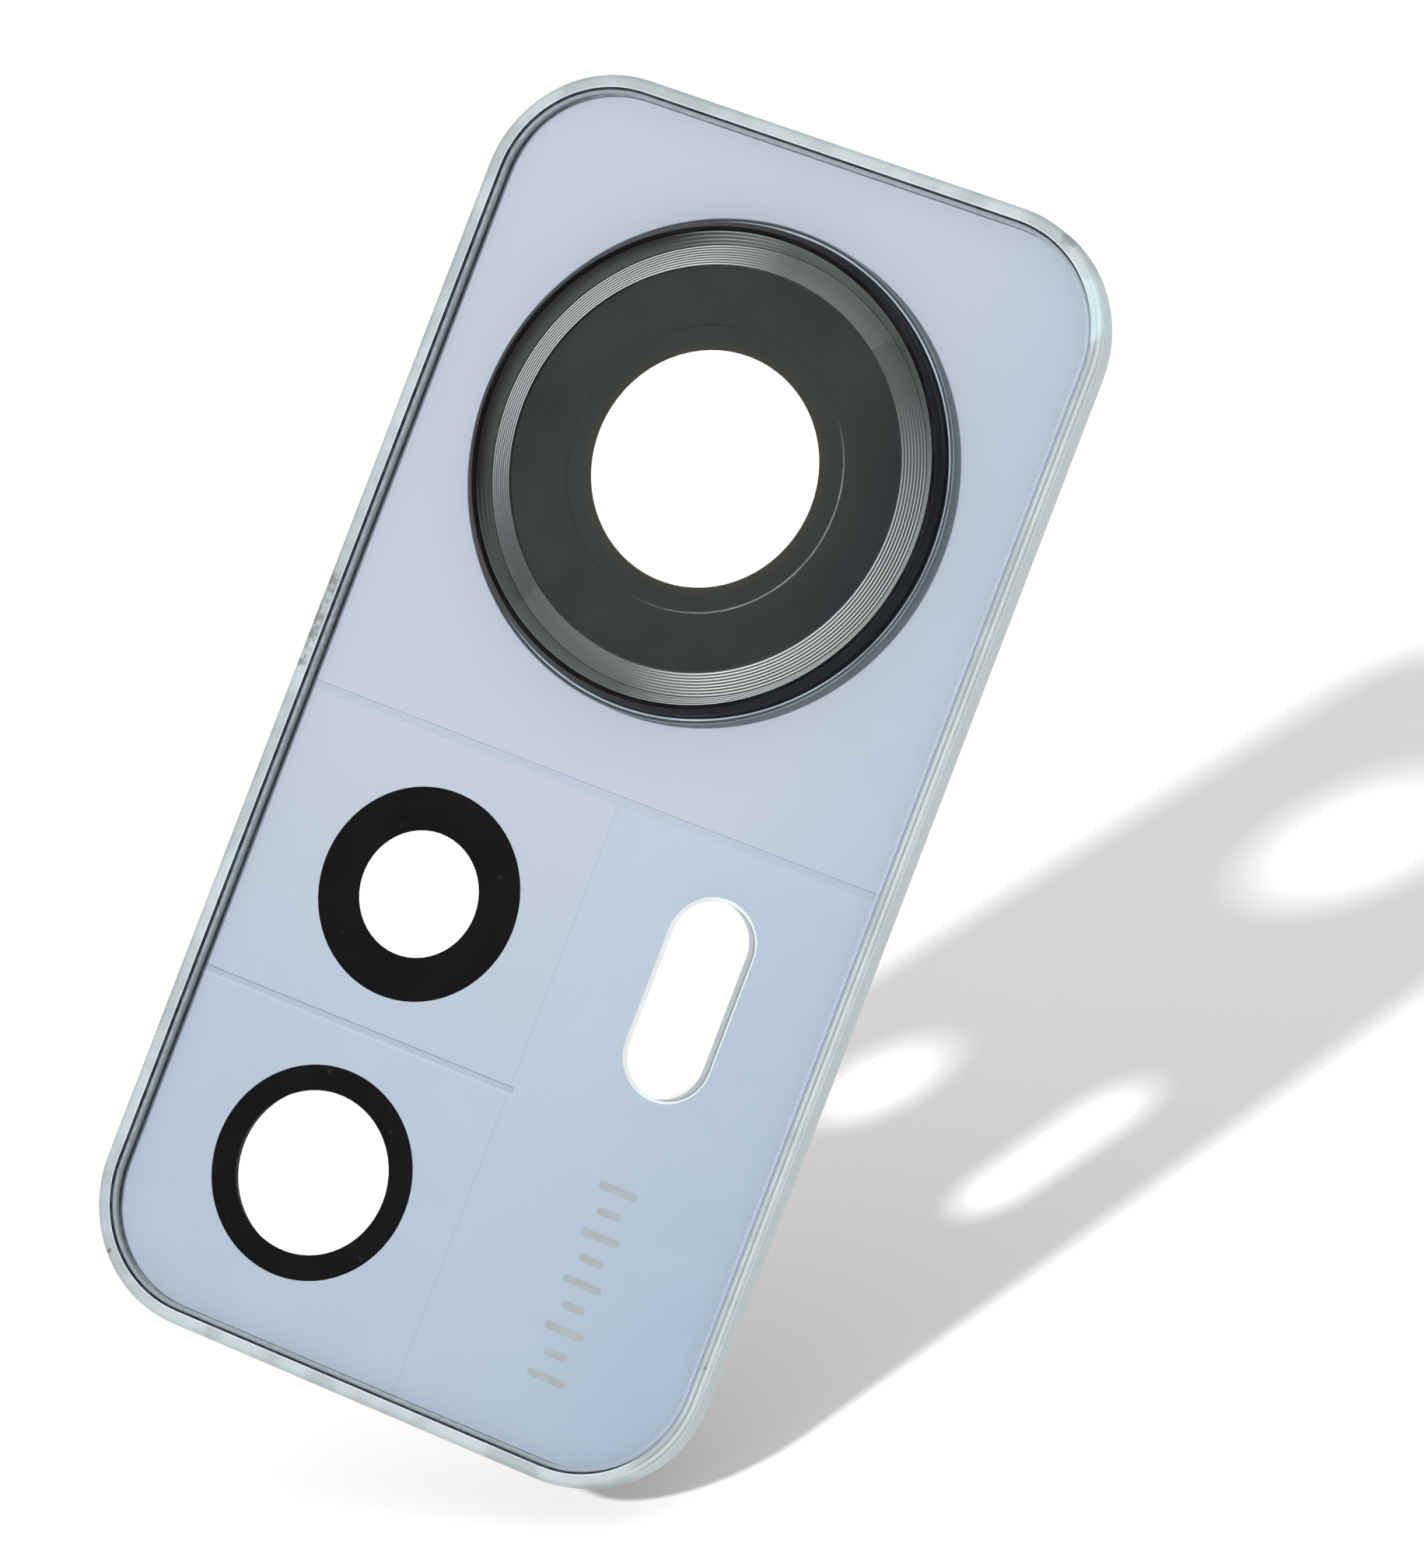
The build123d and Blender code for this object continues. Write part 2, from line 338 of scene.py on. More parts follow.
def shaded_acrylic_step():
    """The field's rim at the foot of the lip: a strip of painted slate shade on the left that clears
    to the right.
    """
    material = new_material("shaded_acrylic_step")
    x, _, _ = coordinate(material)
    # Painted shade: the strip is slate and denser on the left.
    left = step(material, x, -12.7 * MM, -12.2 * MM, 1.0, 0.0)
    streak = patches(material, 0.3, 2.0, 0.3, 0.7)
    dark = tint(material, streak, "#66727a", "#7e8b92")
    colour = tint(material, left, "#a3adb6", dark)
    body = add_node(material, "ShaderNodeBsdfPrincipled", inputs={
        "Base Color": colour, "Roughness": 0.4, "Specular IOR Level": 0.2})
    through = add_node(material, "ShaderNodeBsdfTransparent", inputs={"Color": "#f2f6f8"})
    return blend(material, step(material, left, 0.0, 1.0, 0.35, 0.85), through, body)


def border_ink():
    """The ink that shows as a hairline round the film: printed mid grey, painted dark slate as shade
    on the left.
    """
    material = new_material("screen_ink_border")
    x, _, _ = coordinate(material)
    # Painted shade: the printed line is darkened to slate on the left.
    left = step(material, x, -12.2 * MM, -9.5 * MM, 1.0, 0.0)
    streak = patches(material, 0.3, 2.0, 0.3, 0.7)
    dark = tint(material, streak, "#2b363f", "#46525b")
    pale = tint(material, streak, "#727d84", "#8b969d")
    colour = tint(material, left, pale, dark)
    return surface(material, {"Base Color": colour, "Roughness": 0.55})


SEAM_X = 1.38 * MM                               # the film's upright seam, below the long band
PRESS_SOFT = 0.02 * MM                           # softness of a pressed edge
PRESS_LINE = 0.035 * MM                          # half the width of a painted shade or highlight line along a pressed edge


def pearl_film(style):
    """Vapour-coated film: lilac-blue pearl with a soft colour drift and two shallow pressed bands,
    with painted shade along the short band's upper edge and painted highlights along the lower edges.
    """
    material = new_material("pearl_film")
    x, _, z = coordinate(material)
    low_end = step(material, z, 6.0 * MM, FILM_LOW.z, 0.0, 0.6)
    drift = maths(material, "ADD", low_end, step(material, x, 3.0 * MM, FILM_HIGH.x, 0.0, 0.4))
    colour = tint(material, drift, (*style.film_light, 1.0), (*style.film_deep, 1.0))
    cloud = patches(material, 3.5, 3.0, 0.42, 0.62)
    colour = tint(material, product(material, cloud, 0.12), colour, "#a8acbd")
    long_z, short_z = style.long_band_z, style.short_band_z
    half, short_half = style.band_width / 2, style.band_width * 0.4
    right = step(material, x, SEAM_X - 0.08 * MM, SEAM_X)
    below = step(material, z, long_z - 0.20 * MM, long_z - 0.12 * MM, 1.0, 0.0)
    corner = product(material, right, below)
    colour = tint(material, product(material, corner, 0.12), colour, "#8ea8bc")

    def level(middle, reach):
        """1 within reach of a height, else 0."""
        return band(material, z, middle - reach, middle + reach, PRESS_SOFT)

    short_end = step(material, x, SEAM_X + 0.04 * MM, SEAM_X + 0.12 * MM, 1.0, 0.0)
    long_band = level(long_z, half)
    short_band = product(material, short_end, level(short_z, short_half))
    upright = product(material, below, band(material, x, SEAM_X - 0.11 * MM, SEAM_X - 0.03 * MM,
                                            PRESS_SOFT))
    # Lines along the pressed edges: painted shade on the short band's upper edge, painted highlights
    # on the lower edges.
    upper = product(material, short_end, level(short_z + short_half, PRESS_LINE))
    lower = product(material, short_end, level(short_z - short_half, PRESS_LINE))
    long_lower_highlight = level(long_z - half, PRESS_LINE)
    shade = product(material, long_band, 0.14)
    for line, strength in ((short_band, 0.24), (upright, 0.22), (upper, 0.30)):
        shade = maths(material, "ADD", shade, product(material, line, strength))
    colour = tint(material, shade, colour, "#77879a")
    # Painted highlights along the pressed bands' lower edges.
    bright = maths(material, "ADD", product(material, lower, 0.5),
                   product(material, long_lower_highlight, 0.35))
    colour = tint(material, bright, colour, "#c9d0da")
    grain = noise(material, 0.25, 2.0)
    pressed = maths(material, "MAXIMUM", long_band, short_band)
    height = maths(material, "SUBTRACT", product(material, grain, 0.02), pressed)
    return surface(material, {
        "Base Color": colour, "Roughness": 0.6, "Specular IOR Level": 0.08,
        "Normal": bump(material, height, 0.05, 0.8)})


def screen_ink(name, colour):
    """Screen-printed black: dense, faintly pebbled and a little clouded."""
    material = new_material(name)
    pebble = noise(material, 0.08, 2.0)
    cloud = patches(material, 2.2, 2.0, 0.35, 0.65)
    shade = tint(material, product(material, cloud, 0.5), colour, "#090a0b")
    return surface(material, {
        "Base Color": shade, "Roughness": 0.7, "Specular IOR Level": 0.05,
        "Normal": bump(material, pebble, 0.01, 0.4)})


def lens_ink(name, near, far, split, spread_mm):
    """Black print behind the lens glass: dark grey-green, warmer beside the window."""
    material = new_material(name)
    radius, _ = polar(material)
    warm = step(material, radius, split, split + spread_mm * MM, 1.0, 0.0)
    cloud = patches(material, 3.0, 2.0, 0.3, 0.7)
    ground = tint(material, cloud, far, "#2e3130")
    x, _, _ = coordinate(material, RING_CENTRE)
    cool = step(material, x, 4.5 * MM, INSERT_INNER_R, 0.0, 0.7)
    ground = tint(material, cool, ground, "#212329")
    shade = tint(material, warm, ground, near)
    return surface(material, {
        "Base Color": shade, "Roughness": 0.65, "Specular IOR Level": 0.05})


def black_anodised(name, left, right, roughness, metallic=0.5, shine=0.3):
    """Black anodised aluminium with fine lathe marks; a painted sheen makes its colour run from the
    left to the right.
    """
    material = new_material(name)
    radius, _ = polar(material)
    x, _, _ = coordinate(material, RING_CENTRE)
    marks = add_node(material, "ShaderNodeTexNoise", {"noise_dimensions": "1D"}, {
        "W": product(material, radius, 1 / (0.03 * MM)), "Scale": 1.0, "Detail": 2.0})
    lathe = marks.outputs["Fac"]
    patch = patches(material, 1.4, 2.0, 0.3, 0.7, roughness * 0.8, roughness * 1.25)
    # Painted sheen: the colour runs from the left colour to the right colour.
    ground = tint(material, step(material, x, -6.0 * MM, 4.0 * MM), left, right)
    shade = tint(material, product(material, lathe, 0.5), ground, "#0c0e13")
    return surface(material, {
        "Base Color": shade, "Metallic": metallic, "Roughness": patch, "Specular IOR Level": shine,
        "Normal": bump(material, lathe, 0.004, 0.6)})


def flange_anodised():
    """The ring's foot: dark, with two pale lines painted as reflections on its turned edges, one
    under the wall and one outside.
    """
    material = new_material("anodised_flange_turned")
    radius, _ = polar(material)
    outer = RING_HIGH.x - RING_CENTRE.x
    # Painted reflections: pale blue lines on the turned edges.
    inside = band(material, radius, outer - 0.22 * MM, outer - 0.15 * MM, 0.01 * MM)
    outside = band(material, radius, outer - 0.04 * MM, outer, 0.01 * MM)
    line = maths(material, "MAXIMUM", inside, product(material, outside, 0.8))
    patch = patches(material, 1.8, 2.0, 0.35, 0.65, 0.75, 1.0)
    colour = tint(material, product(material, line, patch), "#14181e", "#7d8d99")
    return surface(material, {
        "Base Color": colour, "Metallic": 0.3, "Roughness": 0.5, "Specular IOR Level": 0.3})


def turned_anodised(style, name, shadow=0.0):
    """Diamond-turned, grey-dyed aluminium: concentric cuts with a painted sheen that sweeps round in
    two fans, painted highlights on the ridges, painted shade in the grooves and painted shade over
    the right;
    with shadow, the side that is turned away from the light is painted dark towards the outside."""
    material = new_material(name)
    radius, angle = polar(material)
    # Painted sheen: a colour ramp round the angle, in two fans.
    turn = product(material, maths(material, "SUBTRACT", angle, style.fan_start), 1 / math.pi)
    sweep = maths(material, "FRACT", maths(material, "ADD", turn, 4.0))
    ground = add_node(material, "ShaderNodeValToRGB", inputs={"Fac": sweep})
    stops = ((0.0, "#5f6361"), (0.20, "#646868"), (0.34, "#7c8281"), (0.52, "#838a89"),
             (0.72, "#70777a"), (0.90, "#5f6566"), (0.995, "#565b59"))
    for index, (place, colour) in enumerate(stops):
        ramp = ground.color_ramp.elements
        stop = ramp[index] if index < 2 else ramp.new(place)
        stop.position = place
        stop.color = linear(colour)
    # Where the painted sheen shows the cuts' stripes.
    sheen_share = product(material, step(material, sweep, 0.18, 0.36),
                     step(material, sweep, 0.66, 0.94, 1.0, 0.0))
    from_bore = maths(material, "SUBTRACT", radius, INSERT_INNER_R)
    phase = maths(material, "DIVIDE", from_bore, GROOVE_PITCH)
    ridge = maths(material, "PINGPONG", phase, 0.5)
    bright = step(material, ridge, 0.27, 0.42)
    dark = step(material, ridge, 0.06, 0.23, 1.0, 0.0)
    # Painted highlights on the ridges and painted shade in the grooves.
    colour = tint(material, product(material, bright, sheen_share), ground.outputs[0], "#f0f6f6")
    colour = tint(material, product(material, dark, sheen_share, 0.9), colour, "#2f3434")
    # Painted shade over the right-hand side.
    x, _, _ = coordinate(material, RING_CENTRE)
    painted_right_shade = step(material, x, -1.0 * MM, INSERT_OUTER_R, 0.0, 0.45)
    shaded = tint(material, painted_right_shade, colour, "#8f9494", "MULTIPLY")
    # Painted shade on the funnel's side turned away from the light, darker towards the outside.
    turned = maths(material, "COSINE", maths(material, "SUBTRACT", angle, style.shade_middle))
    shaded_lobe = product(material, step(material, turned, 0.34, 0.80), shadow)
    deep = tint(material, step(material, radius, INSERT_OUTER_R, FUNNEL_OUTER_R), "#505452",
                "#171817")
    shaded = tint(material, shaded_lobe, shaded, deep)
    return surface(material, {"Base Color": shaded, "Metallic": 0.5, "Roughness": 0.45})


def lens_glass():
    """Polished cover glass with a faint green body and an anti-glare coat."""
    material = new_material("lens_glass")
    through = add_node(material, "ShaderNodeBsdfTransparent", inputs={"Color": "#fbfdfc"})
    normal = bump(material, noise(material, 6.0, 1.0), 0.003, 0.15)
    mirror = add_node(material, "ShaderNodeBsdfGlossy", inputs={
        "Color": "#eef4ff", "Roughness": 0.03, "Normal": normal})
    return blend(material, polish(material, 0.7), through, mirror)


def hairline(style):
    """The fine line between the two lens prints, with a painted glint that dies away towards both
    ends.
    """
    material = new_material("print_edge_glint")
    _, angle = polar(material)
    low, high = style.glint_start, style.glint_end
    glint_share = product(material, step(material, angle, low, low + 0.9),
                   step(material, angle, high - 0.7, high, 1.0, 0.0))
    grain = patches(material, 0.4, 2.0, 0.3, 0.7, 0.6, 0.9)
    # Painted glint on the line between the lens prints.
    colour = tint(material, product(material, glint_share, grain), "#292c2b", "#848a86")
    return surface(material, {
        "Base Color": colour, "Roughness": 0.7, "Specular IOR Level": 0.05})


def bond_tape():
    """Double-sided foam tape: dull black with a fine open-cell grain and a slightly tacky sheen."""
    material = new_material("foam_bond_tape")
    cells = voronoi_cells(material, 0.22)
    tack = patches(material, 2.0, 3.0, 0.35, 0.65, 0.32, 0.55)
    shade = tint(material, cells, "#131415", "#2a2c2e")
    return surface(material, {
        "Base Color": shade, "Roughness": tack,
        "Normal": bump(material, cells, 0.03, 0.5)})


def seal_foam():
    """Closed-cell light-seal foam: soft black with visible cells."""
    material = new_material("closed_cell_foam")
    cells = voronoi_cells(material, 0.16)
    shade = tint(material, cells, "#26282a", "#0e0f10")
    return surface(material, {
        "Base Color": shade, "Roughness": 0.85,
        "Normal": bump(material, cells, 0.08, 0.8)})


def cured_adhesive():
    """Cured black epoxy bead: smooth, a little glossy, slightly uneven."""
    material = new_material("cured_epoxy")
    wave = noise(material, 0.8, 2.0)
    shade = tint(material, wave, "#1b1c1e", "#34363a")
    return surface(material, {
        "Base Color": shade, "Roughness": 0.3, "Normal": bump(material, wave, 0.02, 0.5)})


def white_liner():
    """Moulded white liner of the flash slot: satin, with a grey front face, glowing on the left."""
    material = new_material("white_liner_moulded")
    cloud = patches(material, 1.0, 2.0, 0.3, 0.7)
    shade = tint(material, cloud, "#f4f4f2", "#fcfcfa")
    x, y, _ = coordinate(material)
    face = step(material, y, LINER_LOW.y + 0.01 * MM, LINER_LOW.y + 0.04 * MM, 1.0, 0.0)
    shade = tint(material, face, shade, "#b4b9b8")
    inner = maths(material, "SUBTRACT", 1.0, face)
    left = step(material, x, SLOT_MIDDLE_X, SLOT_MIDDLE_X + SLOT_FADE, LINER_GLOW, 0.0)
    return surface(material, {
        "Base Color": shade, "Roughness": 0.4, "Emission Color": shade,
        "Emission Strength": product(material, inner, left)})


def grey_ink():
    """Silver-grey screen print, a little raised, with a fine metallic grain."""
    material = new_material("silver_screen_ink")
    grain = noise(material, 0.06, 2.0)
    cloud = patches(material, 0.7, 2.0, 0.35, 0.65)
    shade = tint(material, cloud, "#8f9396", "#969a9c")
    return surface(material, {
        "Base Color": shade, "Roughness": 0.7, "Specular IOR Level": 0.1,
        "Normal": bump(material, grain, 0.01, 0.5)})


def studio_floor():
    """Matt white sweep, seen from its upper side only."""
    material = new_material("studio_floor_white")
    mottle = patches(material, 60.0, 1.0, 0.3, 0.7)
    shade = tint(material, mottle, "#f4f4f4", "#f7f7f7")
    top = add_node(material, "ShaderNodeBsdfDiffuse", inputs={"Color": shade})
    under = add_node(material, "ShaderNodeBsdfTransparent")
    side = add_node(material, "ShaderNodeNewGeometry").outputs["Backfacing"]
    return blend(material, side, top, under)


# ---------------- mesh tools

def add_object(name, data):
    item = bpy.data.objects.new(name, data)
    bpy.context.scene.collection.objects.link(item)
    return item


def face_along(item, turn):
    """Turns an object by a quaternion."""
    item.rotation_mode = "QUATERNION"
    item.rotation_quaternion = turn


def make_piece(name, bm, materials, nodes=(), sharp_degrees=32.0):
    """Turns a bmesh into a finished piece with its materials, shading and body, hiding the CAD nodes
    it replaces.
    """
    bmesh.ops.recalc_face_normals(bm, faces=bm.faces)
    limit = math.radians(sharp_degrees)
    for face in bm.faces:
        face.smooth = True
    for edge in bm.edges:
        edge.smooth = len(edge.link_faces) == 2 and edge.calc_face_angle(0) < limit
    mesh = bpy.data.meshes.new(name)
    bm.to_mesh(mesh)
    bm.free()
    for material in materials:
        mesh.materials.append(material)
    piece = add_object(name, mesh)
    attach(piece, BODY)
    if nodes:
        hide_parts(*nodes)


def finish_node(node, material):
    """Gives a carried-over CAD node its material."""
    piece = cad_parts[node]
    for holder in piece.material_slots:
        holder.material = material


def rounded_face(bm, low, high, corner, y, segments=20):
    """A flat face at y with rounded corners, between two (x, z) corners."""
    places = ((low[0], low[1]), (high[0], low[1]), (high[0], high[1]), (low[0], high[1]))
    verts = [bm.verts.new((x, y, z)) for x, z in places]
    bm.faces.new(verts)
    made = bmesh.ops.bevel(bm, geom=verts, offset=corner, offset_type="OFFSET", segments=segments,
                           profile=0.5, affect="VERTICES", material=-1)
    return made["verts"][0].link_faces[0]


def circle_verts(bm, radius, y, segments=RING_STEPS):
    """A circle of vertices about the main lens axis."""
    place = Matrix.Translation((RING_CENTRE.x, y, RING_CENTRE.z))
    return bmesh.ops.create_circle(bm, cap_ends=False, segments=segments, radius=radius,
                                   matrix=place @ Matrix.Rotation(math.pi / 2, 4, "X"))["verts"]


def circle_edges(bm, radius, y):
    verts = circle_verts(bm, radius, y)
    return list(dict.fromkeys(edge for vert in verts for edge in vert.link_edges))


def pill_edges(bm, low, high, y, segments=24):
    """An upright slot outline: a rectangle whose corners are rounded to half its width."""
    half = (high.x - low.x) / 2
    face = rounded_face(bm, (low.x, low.z), (high.x, high.z), half * 0.9999, y, segments)
    edges = list(face.edges)
    bmesh.ops.delete(bm, geom=[face], context="FACES_ONLY")
    return edges


def spin_section(corners):
    """A ring turned about the main lens axis from (radius, rise above the field) corners."""
    bm = bmesh.new()
    verts = [bm.verts.new((RING_CENTRE.x + radius, FIELD_Y - rise, RING_CENTRE.z))
             for radius, rise in corners]
    edges = [bm.edges.new(pair) for pair in zip(verts, verts[1:] + verts[:1])]
    bmesh.ops.spin(bm, geom=verts + edges, cent=RING_CENTRE, axis=(0, -1, 0), angle=2 * math.pi,
                   steps=RING_STEPS, use_merge=True, use_duplicate=False)
    return bm


def end_face(bm, side):
    """The largest face at the front end (side -1) or the rear end (side 1)."""
    return max(bm.faces, key=lambda f: (round(side * f.calc_center_median().y, 7), f.calc_area()))


def ring_radius(face):
    middle = face.calc_center_median()
    return math.hypot(middle.x - RING_CENTRE.x, middle.z - RING_CENTRE.z)


# ---------------- properties

def length_setting(name, description, millimetres):
    return bpy.props.FloatProperty(name=name, description=description, subtype="DISTANCE",
                                   unit="LENGTH", default=millimetres * MM)


def angle_setting(name, description, degrees):
    return bpy.props.FloatProperty(name=name, description=description, subtype="ANGLE",
                                   unit="ROTATION", default=math.radians(degrees))


class LensCoverLook(bpy.types.PropertyGroup):
    film_light: bpy.props.FloatVectorProperty(
        name="Film, light end", description="Film colour at the upper corner away from the slot",
        subtype="COLOR", size=3, min=0, max=1, default=linear_rgb("#a7acb8"))
    film_deep: bpy.props.FloatVectorProperty(
        name="Film, deep end", description="Film colour at the lower corner beside the mark",
        subtype="COLOR", size=3, min=0, max=1, default=linear_rgb("#909caa"))
    long_band_z: length_setting("Long band height",
        "Height of the pressed band that crosses the whole film", -0.70)
    short_band_z: length_setting("Short band height",
        "Height of the pressed band between the small windows", -12.84)
    band_width: length_setting("Band width", "Width of the long pressed band", 0.36)
    lip_width: length_setting("Lip width",
        "Width of the low lip round the plate, with its wall", 0.62)
    lip_wall: length_setting("Lip wall", "Width of the lip's sloping inner wall", 0.09)
    glint_width: length_setting("Glint width",
        "Strip of caught light along the lip's inner edge", 0.05)
    border_width: length_setting("Clear border",
        "Clear skirt between the outline and the ink", 0.66)
    # The step strip's slate on the left is painted shade.
    step_width: length_setting("Step width",
        "Bruised strip of the field at the foot of the lip's wall", 0.15)
    line_width: length_setting("Border line width",
        "Printed line round the film, behind the clear skin", 0.10)
    front_edge: length_setting("Front edge radius", "Rounding of the plate's outer edge", 0.20)
    rear_edge: length_setting("Rear edge break", "Small chamfer on the plate's rear edge", 0.10)
    corner: length_setting("Corner radius", "Radius of the plate's outline corners", 5.2)
    # The turned insert's sheen fans are painted into its colour.
    fan_start: angle_setting("Sheen fan start",
        "Angle where the turned insert's sheen starts afresh", 54)
    shade_middle: angle_setting("Funnel shade",
        "Angle at the middle of the funnel's shaded side", 161)
    # The pale line's painted glint runs between these two angles.
    glint_start: angle_setting("Glint start",
        "Lower end of the pale line between the lens prints", -108)
    glint_end: angle_setting("Glint end", "Upper end of the pale line between the lens prints", 46)


class LensCoverStudio(bpy.types.PropertyGroup):
    azimuth: angle_setting("Azimuth", "Camera's turn round the plate from straight in front", 20.13)
    elevation: angle_setting("Elevation", "Camera's height angle", -0.36)
    roll: angle_setting("Roll", "Camera's turn about its own axis", 21.02)
    distance: length_setting("Distance", "Camera's distance from the aim point", 257.3)
    aim: bpy.props.FloatVectorProperty(
        name="Aim", description="Point on the lip's plane that the camera looks at",
        subtype="TRANSLATION", unit="LENGTH", size=3, default=(4.86 * MM, -1.3 * MM, 1.20 * MM))
    lens: bpy.props.FloatProperty(
        name="Lens", description="Focal length on a 36 mm sensor",
        subtype="DISTANCE_CAMERA", unit="CAMERA", default=151.67)
    floor_tilt: angle_setting("Floor tilt",
        "How steeply the camera looks down on the white floor", 18.4)
    floor_roll: angle_setting("Floor roll",
        "How far the floor leans to the right of the picture", -8.6)
    key_strength: bpy.props.FloatProperty(
        name="Key light", description="Strength of the soft sun", default=3.3, min=0)
    fill_strength: bpy.props.FloatProperty(
        name="Fill light", description="Power of each softbox, in watts", default=0.3, min=0)
    world_strength: bpy.props.FloatProperty(
        name="Surroundings", description="Strength of the surroundings on their bright side",
        default=0.98, min=0)


def look():
    return bpy.context.scene.lens_cover_look


def studio():
    return bpy.context.scene.lens_cover_studio


# ---------------- pieces

class LENSCOVER_OT_clear_plate(bpy.types.Operator):
    """Build the clear plate with its lip, sunken field, rear skirt, ring bore and flash slot"""
    bl_idname = "lens_cover.clear_plate"
    bl_label = "Clear plate"

    FIELD, EDGE, WALL, BONDED, SLOT_WALL, STEP, BORDER, GLINT = range(8)

    def cut_floor(self, bm, face, y, index):
        """Replaces a flat face by the same face with the ring bore and the slot left open."""
        rim = list(face.edges)
        bmesh.ops.delete(bm, geom=[face], context="FACES_ONLY")
        bore = circle_edges(bm, BORE_R, y)
        slot = pill_edges(bm, SLOT_LOW, SLOT_HIGH, y)
        filled = bmesh.ops.triangle_fill(bm, use_beauty=True, use_dissolve=False,
                                         edges=rim + bore + slot)
        for item in filled["geom"]:
            if isinstance(item, bmesh.types.BMFace):
                item.material_index = index
        return bore, slot

    def execute(self, context):
        now = look()
        bm = bmesh.new()
        low, high = (PLATE_LOW.x, PLATE_LOW.z), (PLATE_HIGH.x, PLATE_HIGH.z)
        rear = rounded_face(bm, low, high, now.corner, REAR_Y)
        front = bmesh.ops.extrude_face_region(bm, geom=[rear])
        front = [item for item in front["geom"] if isinstance(item, bmesh.types.BMFace)][0]
        bmesh.ops.translate(bm, verts=front.verts, vec=(0, FRONT_Y - REAR_Y, 0))
        for face in bm.faces:
            face.material_index = self.EDGE
        bmesh.ops.bevel(bm, geom=list(front.edges), offset=now.front_edge, segments=6, profile=0.5,
                        affect="EDGES", material=-1)
        bmesh.ops.bevel(bm, geom=list(end_face(bm, 1).edges), offset=now.rear_edge, segments=1,
                        profile=0.5, affect="EDGES", material=-1)
        front, rear = end_face(bm, -1), end_face(bm, 1)
        top = now.lip_width - now.front_edge - now.lip_wall - now.glint_width
        self.sink(bm, front, top, 0.0, self.EDGE)
        self.sink(bm, front, now.glint_width, 0.0, self.GLINT)
        self.sink(bm, front, now.lip_wall, FIELD_Y - FRONT_Y, self.WALL)
        self.sink(bm, front, now.step_width, 0.0, self.STEP)
        self.sink(bm, rear, now.border_width - now.rear_edge, 0.0, self.EDGE)
        self.sink(bm, rear, 0.001 * MM, SKIN_REAR_Y - REAR_Y, self.EDGE)
        self.sink(bm, rear, now.line_width, 0.0, self.BORDER)
        bore_front, slot_front = self.cut_floor(bm, front, FIELD_Y, self.FIELD)
        bore_rear, slot_rear = self.cut_floor(bm, rear, SKIN_REAR_Y, self.BONDED)
        for pair in (bore_front + bore_rear, slot_front + slot_rear):
            for face in bmesh.ops.bridge_loops(bm, edges=pair)["faces"]:
                face.material_index = self.SLOT_WALL
        edge = edge_acrylic(now, "clear_acrylic_edge", "#a1acaf", "#8f999c", 0.88)
        glint = edge_acrylic(now, "acrylic_caught_light", "#b2bfc4", "#a3b0b5", 0.9)
        wall = edge_acrylic(now, "acrylic_slot_wall", "#e2e6e4", "#dadedc", 0.85)
        make_piece("clear_plate", bm,
                   [clear_acrylic(), edge, shaded_lip_wall(), bonded_acrylic(), wall,
                    shaded_acrylic_step(), border_ink(), glint],
                   ["cover_plate"], 6.0)
        return {"FINISHED"}

    def sink(self, bm, face, inset, drop, index):
        """Insets a face by a width and moves it along Y; the new border takes a material."""
        made = bmesh.ops.inset_region(bm, faces=[face], thickness=inset, use_even_offset=True)
        for border in made["faces"]:
            border.material_index = index
        bmesh.ops.translate(bm, verts=face.verts, vec=(0, drop, 0))


class LENSCOVER_OT_laminate(bpy.types.Operator):
    """Finish the film, the ink behind it, the window prints, the mark and the flash liner"""
    bl_idname = "lens_cover.laminate"
    bl_label = "Film and prints"

    def execute(self, context):
        finish_node("decor_film", pearl_film(look()))
        finish_node("backing_ink", border_ink())
        window_ink = screen_ink("screen_ink_window", "#030304")
        finish_node("upper_lens_ink_ring", window_ink)
        finish_node("lower_lens_ink_ring", window_ink)
        finish_node("printed_mark", grey_ink())
        finish_node("flash_liner", white_liner())
        return {"FINISHED"}


